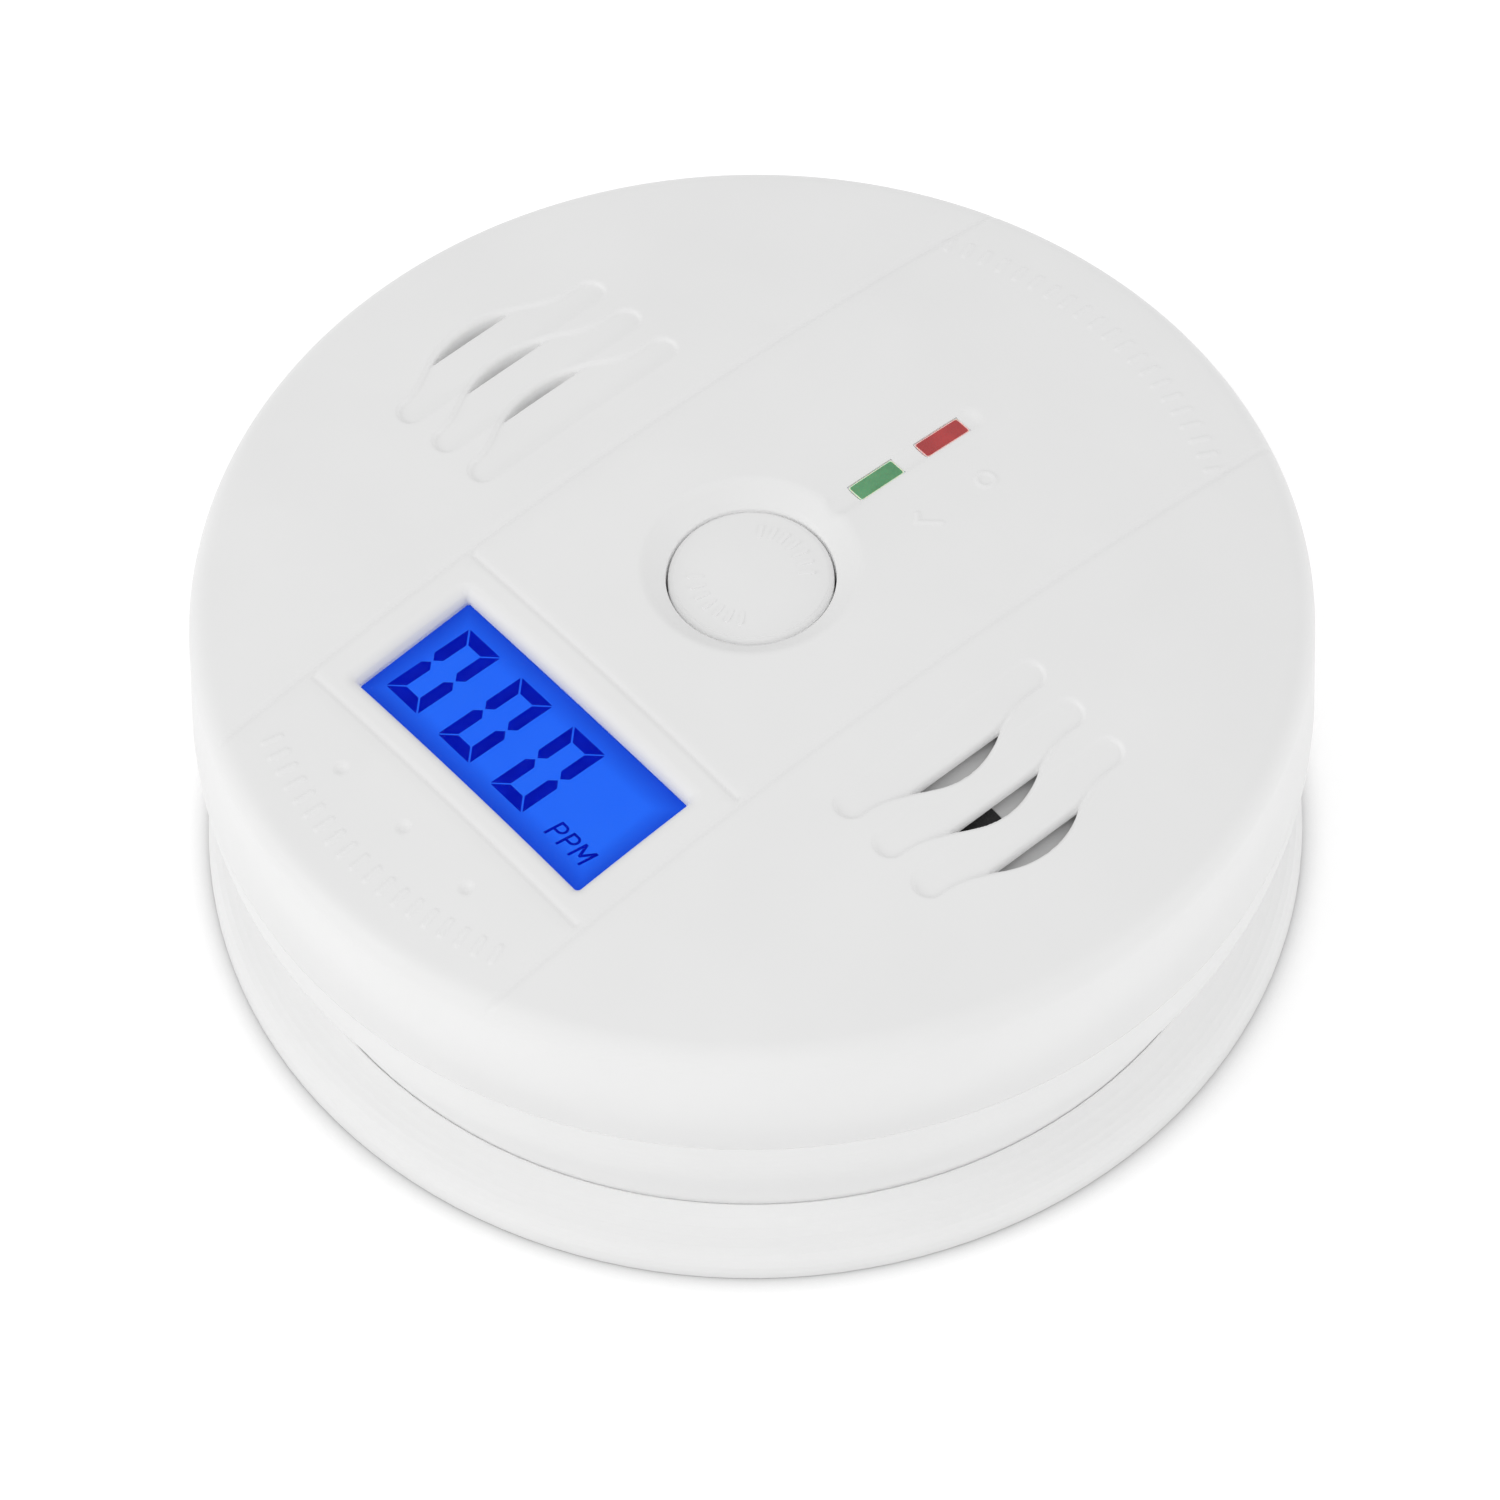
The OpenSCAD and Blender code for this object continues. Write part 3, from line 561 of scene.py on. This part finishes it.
def front_cover(material):
    """The whole moulding: both skins, then the walls that join them round the rim and each hole."""
    b = Builder()
    angles = rim_angles()
    button_angles = np.linspace(0, 2 * math.pi, BUTTON_STEPS, endpoint=False)
    window = window_loop(0, WINDOW_CORNER) + [0, WINDOW_Y]
    collar = window_loop(COLLAR_WALL, 0.5) + [0, WINDOW_Y]
    pipes = [pipe_loop(y) for y in PIPE_Y]
    slots = [slot_loop(i, side) for side in (1, -1) for i in range(LOUVRES)]
    ducts = [grown_loop(loop, DUCT_WALL) for loop in slots]

    outer_rim, outer_hole = circle_loop(RIM_MEET_R, angles), circle_loop(BUTTON_HOLE_R, button_angles)
    inner_rim, inner_hole = circle_loop(RIM_C, angles), circle_loop(COLLAR_R, button_angles)
    top = outer_skin(b, [outer_rim, outer_hole, window] + pipes + slots)
    bottom = inner_skin(b, [inner_rim, inner_hole, collar] + pipes + ducts)

    rim_and_side(b, angles, top[0], bottom[0])
    button_tube(b, button_angles, top[1], bottom[1])
    window_collar(b, top[2], bottom[2])
    first = 3 + len(pipes)
    for upper, lower in zip(top[3:first], bottom[3:first]):
        b.tube([upper, lower])
    for slot, duct, upper, lower in zip(slots, ducts, top[first:], bottom[first:]):
        slot_duct(b, slot, duct, upper, lower)
    screw_bosses(b)
    obj = b.make("front_cover_shell", "alarm", material, "front_cover")
    obj.data.set_sharp_from_angle(angle=math.radians(CRISP_ANGLE))


def button_spring(material):
    """The CAD spring's own shape as a separate piece under the button."""
    obj = bpy.data.objects.new("button_spring_wire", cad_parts["button_spring"].data.copy())
    bpy.context.scene.collection.objects.link(obj)
    obj.matrix_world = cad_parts["button_spring"].matrix_world.copy()
    obj.data.materials.clear()
    obj.data.materials.append(material)
    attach(obj, "alarm")
    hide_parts("button_spring")
    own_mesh(obj)


# ---------------------------------------------------------------- materials
class Nodes:
    """Small helper round one material's node tree."""

    def __init__(self, name):
        self.material = bpy.data.materials.new(name)
        self.material.use_nodes = True
        self.tree = self.material.node_tree
        self.shader = self.tree.nodes["Principled BSDF"]
        self.place = self.tree.nodes.new("ShaderNodeTexCoord").outputs["Object"]

    def link(self, output, socket):
        self.tree.links.new(output, socket)

    def coordinates(self):
        """The object's own x, y and z, in metres."""
        split = self.tree.nodes.new("ShaderNodeSeparateXYZ")
        self.link(self.place, split.inputs["Vector"])
        return split.outputs

    def noise(self, scale, detail=4.0, roughness=0.6, stretch=None):
        n = self.tree.nodes.new("ShaderNodeTexNoise")
        n.inputs["Scale"].default_value = scale
        n.inputs["Detail"].default_value = detail
        n.inputs["Roughness"].default_value = roughness
        source = self.place
        if stretch:
            m = self.tree.nodes.new("ShaderNodeMapping")
            m.inputs["Scale"].default_value = stretch
            self.link(self.place, m.inputs["Vector"])
            source = m.outputs["Vector"]
        self.link(source, n.inputs["Vector"])
        return n.outputs["Fac"]

    def ramp(self, value, low, high, start=0.3, end=0.7):
        """Colour or grey that runs from low to high as value goes from start to end."""
        r = self.tree.nodes.new("ShaderNodeValToRGB")
        for element, at, colour in zip(r.color_ramp.elements, (start, end), (low, high)):
            element.position = at
            element.color = (*colour, 1) if hasattr(colour, "__len__") else (colour, colour, colour, 1)
        self.link(value, r.inputs["Fac"])
        return r.outputs["Color"]

    def shelter(self, reach):
        """Grey that is white out in the open and falls to black where nearby surfaces close in."""
        a = self.tree.nodes.new("ShaderNodeAmbientOcclusion")
        a.inputs["Distance"].default_value = reach
        return a.outputs["AO"]

    def math(self, operation, a, b=None, clamp=False):
        m = self.tree.nodes.new("ShaderNodeMath")
        m.operation = operation
        m.use_clamp = clamp
        for socket, value in zip(m.inputs, (a, b)):
            if value is None:
                continue
            if isinstance(value, (int, float)):
                socket.default_value = value
            else:
                self.link(value, socket)
        return m.outputs[0]

    def mix(self, factor, a, b):
        m = self.tree.nodes.new("ShaderNodeMix")
        m.data_type = "RGBA"
        self.link(factor, m.inputs["Factor"])
        for socket, value in ((m.inputs[6], a), (m.inputs[7], b)):
            if isinstance(value, tuple):
                socket.default_value = (*value, 1)
            else:
                self.link(value, socket)
        return m.outputs[2]

    def bump(self, height, depth, strength=1.0):
        b = self.tree.nodes.new("ShaderNodeBump")
        b.inputs["Strength"].default_value = strength
        b.inputs["Distance"].default_value = depth
        self.link(height, b.inputs["Height"])
        self.link(b.outputs["Normal"], self.shader.inputs["Normal"])

    def set(self, **values):
        for name, value in values.items():
            socket = self.shader.inputs[name.replace("_", " ")]
            socket.default_value = (*value, 1) if hasattr(value, "__len__") else value


def moulded_plastic(name, colour, rough=(0.42, 0.5), spread=0.012, crevice_light=None, crevice_light_from=0.0):
    """Satin moulded plastic: slight mottling, a fine spark-eroded grain and faint long scuffs.

    The paler crevice colour is painted light: the base colour is made paler where the ambient occlusion
    node finds nearby surfaces, and paler still in the deepest seams, so that they shade less. Both fade out
    below the lowest height given, in metres, so that the floor doesn't count as one side of a crevice.
    """
    n = Nodes(name)
    dark = tuple(c * (1 - spread) for c in colour)
    light = tuple(min(1, c * (1 + spread)) for c in colour)
    mottle_and_crevice_light = n.ramp(n.noise(55, 3), dark, light)
    # Painted light: a paler base colour where the ambient occlusion node finds crevices, paler still in the
    # deepest seams
    if crevice_light:
        raised = n.math("MULTIPLY", n.math("SUBTRACT", n.coordinates()["Z"], crevice_light_from), 500, clamp=True)
        shelter = n.shelter(CREVICE_LIGHT_REACH)
        depth = n.math("MULTIPLY", n.ramp(shelter, 1.0, 0.0, 0.3, 0.95), raised)
        seam_light_share = n.math("MULTIPLY", n.ramp(shelter, 1.0, 0.0, 0.15, 0.4), raised)
        mottle_and_crevice_light = n.mix(seam_light_share, n.mix(depth, mottle_and_crevice_light, crevice_light), SEAM_PAINTED_LIGHT)
    n.link(mottle_and_crevice_light, n.shader.inputs["Base Color"])
    scuffs = n.noise(90, 6, 0.7, stretch=(1, 0.12, 1))
    n.link(n.ramp(scuffs, rough[1], rough[0], 0.35, 0.75), n.shader.inputs["Roughness"])
    n.bump(n.noise(7000, 2), 0.000006, 0.5)
    n.set(Specular_IOR_Level=0.4)
    return n.material


def metal(name, colour, rough=(0.22, 0.36), brushed=(1, 1, 1)):
    """Bare metal with fine lines, packed closer along the axes where brushed is above 1."""
    n = Nodes(name)
    n.link(n.ramp(n.noise(220, 4), tuple(c * 0.9 for c in colour), colour), n.shader.inputs["Base Color"])
    lines = n.noise(900, 5, 0.6, stretch=brushed)
    n.link(n.ramp(lines, rough[0], rough[1]), n.shader.inputs["Roughness"])
    n.bump(lines, 0.000004, 0.6)
    n.set(Metallic=1.0)
    return n.material


def board_laminate():
    """Green solder resist with faint copper tracks under it and a woven glass texture."""
    n = Nodes("board_laminate")
    w = n.tree.nodes.new("ShaderNodeTexBrick")
    w.inputs["Scale"].default_value = 260
    w.inputs["Mortar Size"].default_value = 0.03
    n.link(n.place, w.inputs["Vector"])
    tracks = n.ramp(w.outputs["Fac"], srgb(20, 92, 48), srgb(34, 118, 62), 0.2, 0.8)
    n.link(n.mix(n.noise(300, 3), tracks, srgb(16, 80, 42)), n.shader.inputs["Base Color"])
    n.link(n.ramp(n.noise(1500, 3), 0.25, 0.4), n.shader.inputs["Roughness"])
    n.bump(w.outputs["Fac"], 0.00003, 0.5)
    return n.material


def cell_jacket():
    """Printed battery jacket: dark body with a copper-coloured end band along the cell's length."""
    n = Nodes("cell_jacket")
    from_middle = n.math("MULTIPLY", n.math("ABSOLUTE", n.coordinates()["X"]), 30)
    band = n.ramp(from_middle, srgb(44, 46, 50), srgb(176, 112, 60), 0.5, 0.52)
    n.link(n.mix(n.noise(400, 3), band, srgb(60, 60, 64)), n.shader.inputs["Base Color"])
    n.link(n.ramp(n.noise(600, 4), 0.25, 0.38), n.shader.inputs["Roughness"])
    n.set(Metallic=0.6)
    return n.material


def carbon_felt():
    n = Nodes("carbon_felt")
    fibres = n.noise(2600, 8, 0.8, stretch=(1, 3, 1))
    n.link(n.ramp(fibres, srgb(22, 22, 23), srgb(56, 56, 58)), n.shader.inputs["Base Color"])
    n.bump(fibres, 0.0001, 0.8)
    n.set(Roughness=0.95, Sheen_Weight=0.2)
    return n.material


def light_pipe(name, node, colours):
    """Tinted clear acrylic with a pale fringe of painted light round its edge; the moulding round it covers
    the corners of the window.
    """
    n = Nodes(name)
    deep, pale, lit_fringe = colours
    low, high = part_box(node)
    place = n.coordinates()
    along = n.math("SUBTRACT", place["Y"], (low.y + high.y) / 2)
    corner = []
    for offset, size in ((place["X"], PIPE_W), (along, PIPE_LEN)):
        past = n.math("SUBTRACT", n.math("ABSOLUTE", offset), (size / 2 - PIPE_CORNER) * MM)
        corner.append(n.math("POWER", n.math("MAXIMUM", past, 0.0), 2.0))
    reach = n.math("SQRT", n.math("ADD", corner[0], corner[1]))
    outside = n.math("ADD", n.math("MULTIPLY", reach, 1 / MM), 0.5 - PIPE_CORNER)
    core = n.ramp(n.noise(500, 3), deep, pale, 0.25, 0.8)
    # Painted light: a pale fringe round the pipe's edge, standing in for its lit edge
    with_lit_fringe = n.mix(n.ramp(outside, 0.0, 1.0, 0.48 - PIPE_LIT_FRINGE, 0.5 - PIPE_LIT_FRINGE), core, lit_fringe)
    covered = n.mix(n.ramp(outside, 0.0, 1.0, 0.48, 0.52), with_lit_fringe, SHELL_COLOUR)
    n.link(covered, n.shader.inputs["Base Color"])
    n.link(n.ramp(n.noise(1200, 3), 0.12, 0.24), n.shader.inputs["Roughness"])
    n.set(Coat_Weight=0.5, Coat_Roughness=0.08, Subsurface_Weight=0.3, Subsurface_Scale=0.0006)
    return n.material


def clear_acrylic():
    n = Nodes("clear_acrylic")
    n.link(n.ramp(n.noise(90, 4), 0.0, 0.03), n.shader.inputs["Roughness"])
    n.set(Base_Color=(0.97, 0.985, 1.0), Transmission_Weight=1.0, IOR=1.06)
    return n.material


def backlit_display():
    """Blue display lit from behind, brightest in the middle; its soft dark border is partly falloff, partly
    painted shade.
    """
    n = Nodes("backlit_display")
    low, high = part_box("display_glass")
    place = n.coordinates()
    along = n.math("SUBTRACT", place["Y"], (low.y + high.y) / 2)
    from_x = n.math("SUBTRACT", WINDOW_W / 2 * MM, n.math("ABSOLUTE", place["X"]))
    from_y = n.math("SUBTRACT", WINDOW_H / 2 * MM, n.math("ABSOLUTE", along))
    # Dark border: partly the backlight's own falloff, partly painted shade from the walls of the opening
    inside = n.math("MULTIPLY", n.math("MINIMUM", from_x, from_y), 1 / DISPLAY_FALLOFF_AND_SHADE_BORDER, clamp=True)
    backlight_and_painted_border_shade = n.ramp(inside, srgb(22, 64, 196), srgb(37, 105, 244), 0.02, 0.8)
    cloudy = n.mix(n.ramp(n.noise(120, 3), 0.0, 0.25), backlight_and_painted_border_shade, srgb(28, 92, 246))
    n.link(cloudy, n.shader.inputs["Emission Color"])
    n.link(n.ramp(n.noise(300, 3), srgb(2, 8, 40), srgb(4, 12, 56)), n.shader.inputs["Base Color"])
    n.set(Emission_Strength=1.0, Roughness=0.5, Specular_IOR_Level=0.02)
    return n.material


def display_ink():
    n = Nodes("display_ink")
    n.link(n.ramp(n.noise(500, 3), srgb(0, 10, 160), srgb(0, 22, 180)), n.shader.inputs["Emission Color"])
    n.link(n.ramp(n.noise(500, 3), srgb(1, 3, 20), srgb(2, 5, 30)), n.shader.inputs["Base Color"])
    n.set(Emission_Strength=1.0, Roughness=0.5, Specular_IOR_Level=0.02)
    return n.material


def outer_looks(shell):
    """Materials of the CAD nodes that show on the outside."""
    return {
        "rear_housing": moulded_plastic("white_abs_housing", HOUSING_COLOUR, crevice_light=HOUSING_CREVICE_LIGHT),
        "mounting_plate": moulded_plastic(
            "white_abs_plate", SHELL_COLOUR, crevice_light=PLATE_CREVICE_LIGHT, crevice_light_from=PLATE_CREVICE_LIGHT_FROM
        ),
        "test_button": shell,
        "power_light_pipe": light_pipe("green_acrylic", "power_light_pipe", PIPE_GREENS),
        "alarm_light_pipe": light_pipe("red_acrylic", "alarm_light_pipe", PIPE_REDS),
        "display_lens": clear_acrylic(),
        "display_glass": backlit_display(),
        "display_segments": display_ink(),
    }


def metal_looks(nickel):
    """Materials of the bare metal CAD nodes."""
    screw = metal("zinc_plate", (0.72, 0.73, 0.74))
    return {
        "cover_screws": screw,
        "board_screws": screw,
        "battery_springs": nickel,
        "battery_contacts": nickel,
        "gas_sensor": metal("pressed_can", (0.74, 0.75, 0.76), rough=(0.3, 0.42)),
        "sounder_disc": metal("brass_sheet", (0.86, 0.68, 0.34), brushed=(6, 1, 1)),
    }


def inner_looks():
    """Materials of the other CAD nodes inside the case."""
    inner = moulded_plastic("inner_plastic", srgb(205, 205, 205), rough=(0.5, 0.6))
    black = moulded_plastic("black_epoxy", srgb(26, 26, 28), rough=(0.45, 0.6), spread=0.1)
    return {
        "battery_1": cell_jacket(),
        "battery_2": cell_jacket(),
        "battery_3": cell_jacket(),
        "circuit_board": board_laminate(),
        "microcontroller": black,
        "boost_transformer": black,
        "tact_switch": black,
        "switch_plunger": black,
        "capacitors": moulded_plastic("capacitor_sleeve", srgb(30, 38, 92), rough=(0.3, 0.4), spread=0.06),
        "chip_parts": moulded_plastic("ceramic", srgb(186, 160, 120), spread=0.08),
        "sensor_shroud": moulded_plastic("grey_cap", srgb(206, 206, 206), rough=(0.5, 0.6)),
        "sounder_case": inner,
        "display_frame": inner,
        "sensor_filter": carbon_felt(),
        "power_led": moulded_plastic("led_body", srgb(236, 230, 205)),
        "alarm_led": moulded_plastic("led_body_2", srgb(236, 230, 205)),
        "display_backlight": moulded_plastic("light_guide", srgb(225, 235, 250), rough=(0.2, 0.3)),
        "display_connectors": moulded_plastic("elastomer", srgb(120, 122, 126), (0.7, 0.8), 0.05),
    }


def finish_cad_nodes(shell, nickel):
    """Gives each CAD node that stays visible its material."""
    for name, look in {**outer_looks(shell), **metal_looks(nickel), **inner_looks()}.items():
        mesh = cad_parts[name].data
        mesh.materials.clear()
        mesh.materials.append(look)


# ---------------------------------------------------------------- floor, light, camera
def floor():
    """Large pale sheet that the alarm lies on, with a painted contact shadow where the alarm is close by.
    """
    size = 3.0
    mesh = bpy.data.meshes.new("floor")
    corners = [(-size, -size, 0), (size, -size, 0), (size, size, 0), (-size, size, 0)]
    mesh.from_pydata(corners, [], [(0, 1, 2, 3)])
    obj = bpy.data.objects.new("floor", mesh)
    bpy.context.scene.collection.objects.link(obj)
    n = Nodes("pale_sheet_with_painted_shadow")
    # Painted contact shadow: the base colour and the emission both fall where the ambient occlusion node
    # finds the alarm near
    contact_shadow_mask = n.math("ADD", n.shelter(CONTACT_SHADOW_REACH), n.math("MULTIPLY", n.noise(12, 3), 0.02))
    n.link(n.ramp(contact_shadow_mask, 0.58, 0.965, 0.45, 0.9), n.shader.inputs["Base Color"])
    n.link(n.ramp(contact_shadow_mask, 0.0, 1.0, 0.45, 0.9), n.shader.inputs["Emission Color"])
    n.set(Roughness=0.9, Specular_IOR_Level=0.1, Emission_Strength=0.12)
    mesh.materials.append(n.material)


def light():
    """Even white room, with three wide soft lights."""
    world = bpy.data.worlds.new("soft_room")
    bpy.context.scene.world = world
    world.use_nodes = True
    background = world.node_tree.nodes["Background"]
    background.inputs["Color"].default_value = (1.0, 1.0, 1.0, 1)
    background.inputs["Strength"].default_value = 0.9
    soft_sun("front", 50, 22, 0.15)
    soft_sun("left", -25, 25, 0.66)
    soft_sun("right", 125, 25, 0.38)


def toward(azimuth, elevation):
    """Unit vector from the alarm toward a place at the azimuth and elevation, in degrees."""
    a, e = math.radians(azimuth), math.radians(elevation)
    return Vector((math.sin(a) * math.cos(e), -math.cos(a) * math.cos(e), math.sin(e)))


def soft_sun(name, azimuth, elevation, strength, spread=28):
    """Wide even light, like a large softbox a long way off."""
    lamp = bpy.data.lights.new(name, "SUN")
    lamp.energy = strength
    lamp.angle = math.radians(spread)
    obj = bpy.data.objects.new(name, lamp)
    away = toward(azimuth, elevation)
    obj.location = away
    obj.rotation_mode = "QUATERNION"
    obj.rotation_quaternion = away.to_track_quat("Z", "Y")
    bpy.context.scene.collection.objects.link(obj)


def camera():
    """Camera above and to the right, looking down at the middle of the face."""
    azimuth, elevation, roll = 49.65, 53.83, math.radians(-1.04)
    distance, aside, above = 0.6367, -0.00048, 0.00586
    lens_in_sensor_widths = 4.6333
    back = toward(azimuth, elevation)
    right = Vector((math.cos(math.radians(azimuth)), math.sin(math.radians(azimuth)), 0))
    up = back.cross(right)
    c, s = math.cos(roll), math.sin(roll)
    right, up = right * c + up * s, up * c - right * s
    data = bpy.data.cameras.new("camera")
    data.sensor_width = 36
    data.lens = lens_in_sensor_widths * data.sensor_width
    obj = bpy.data.objects.new("camera", data)
    obj.matrix_world = Matrix((right, up, back)).transposed().to_4x4()
    obj.location = back * distance + right * aside + up * above
    bpy.context.scene.collection.objects.link(obj)
    bpy.context.scene.camera = obj


# White plastic with painted light in its crevices
shell_plastic = moulded_plastic("white_abs", SHELL_COLOUR, crevice_light=FACE_CREVICE_LIGHT)
nickel_plate = metal("nickel_plate", (0.78, 0.76, 0.72), brushed=(1, 6, 1))
front_cover(shell_plastic)
finish_cad_nodes(shell_plastic, nickel_plate)
button_spring(nickel_plate)
floor()
light()
camera()
bpy.context.scene.view_settings.view_transform = "Standard"
